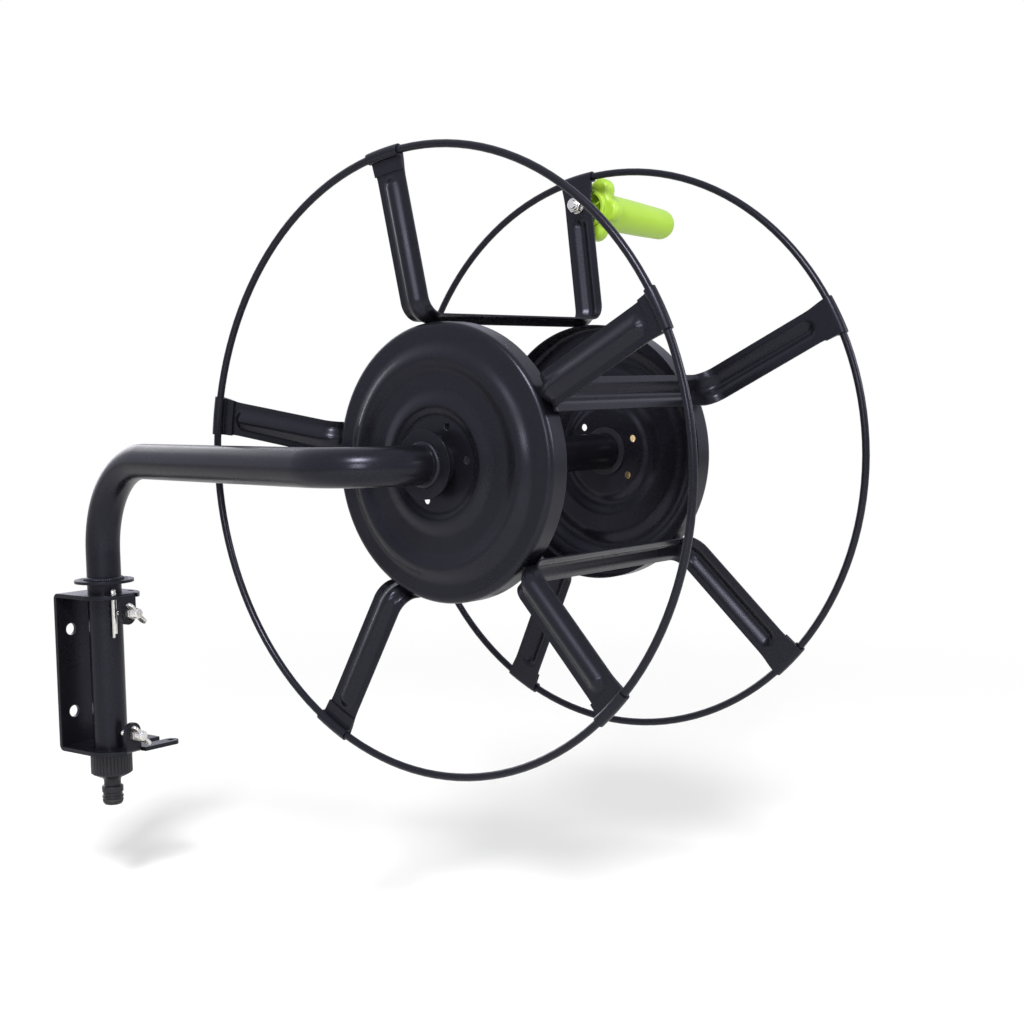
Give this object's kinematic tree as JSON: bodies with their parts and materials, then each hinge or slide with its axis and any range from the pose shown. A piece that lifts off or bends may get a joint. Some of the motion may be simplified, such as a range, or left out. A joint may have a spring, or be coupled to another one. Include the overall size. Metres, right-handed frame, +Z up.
{
  "type": "wall hose reel",
  "caption": "Wall-mounted swivel hose reel: open spoked steel drum on a bent tube arm that turns in a clamp bracket, with a crank handle.",
  "frame": {"origin": "centre of the wall plate's four bolt holes, on the plate's back face", "axes": "+Y into the wall, square to it; +X along the reel axle, away from the arm; +Z up"},
  "size_m": [0.3788, 0.5588, 0.4617],
  "materials": {
    "powder": "satin powder coat",
    "plated": "zinc plated",
    "green_plastic": "moulded",
    "black_plastic": "moulded",
    "brass": "turned",
    "rubber": "matt"
  },
  "bodies": {
    "bracket": {"wall_bracket": "powder", "lock_nuts": "plated"},
    "pin": {"split_pin": "plated"},
    "upper_screw": {"upper_wing_screw": "plated"},
    "lower_screw": {"lower_wing_screw": "plated"},
    "arm": {"swivel_arm": "powder", "post_collar": "powder", "hub_collar": "powder", "tap_connector": "black_plastic", "connector_seal": "rubber", "connector_o_ring": "rubber", "thrust_washer": "plated", "swivel_stem": "brass", "stem_o_rings": "rubber", "swivel_circlip": "plated"},
    "reel": {"hose_swivel": "brass", "near_bush": "black_plastic", "far_bush": "black_plastic", "near_disc": "powder", "far_disc": "powder", "near_rim": "powder", "far_rim": "powder", "spoke_strip_1": "powder", "spoke_strip_2": "powder", "spoke_strip_3": "powder", "spoke_strip_4": "powder", "spoke_strip_5": "powder", "handle_bolt": "plated", "handle_nut": "plated", "handle_washers": "plated"},
    "handle": {"handle_grip": "green_plastic", "handle_cap": "green_plastic"}
  },
  "joints": [
    {"name": "arm_swivel", "type": "hinge", "parent": "bracket", "child": "arm", "pos_m": [0, -0.032, 0], "axis": [0, 0, 1], "range_deg": [-80, 28]},
    {"name": "reel_spin", "type": "hinge", "parent": "arm", "child": "reel", "pos_m": [0.1, -0.3588, 0.16], "axis": [1, 0, 0], "continuous": true},
    {"name": "handle_spin", "type": "hinge", "parent": "reel", "child": "handle", "pos_m": [0.20447, -0.33181, 0.33641], "axis": [0.9976, -0.0106, -0.069], "continuous": true},
    {"name": "upper_screw_turn", "type": "hinge", "parent": "bracket", "child": "upper_screw", "pos_m": [0, -0.032, 0.046], "axis": [0.1045, -0.9945, 0], "range_deg": [0, 270]},
    {"name": "lower_screw_turn", "type": "hinge", "parent": "bracket", "child": "lower_screw", "pos_m": [0, -0.032, -0.046], "axis": [0.1045, -0.9945, 0], "range_deg": [0, 270]},
    {"name": "pin_lift", "type": "slide", "parent": "bracket", "child": "pin", "axis": [0, 0, 1], "range_m": [0, 0.002]}
  ]
}
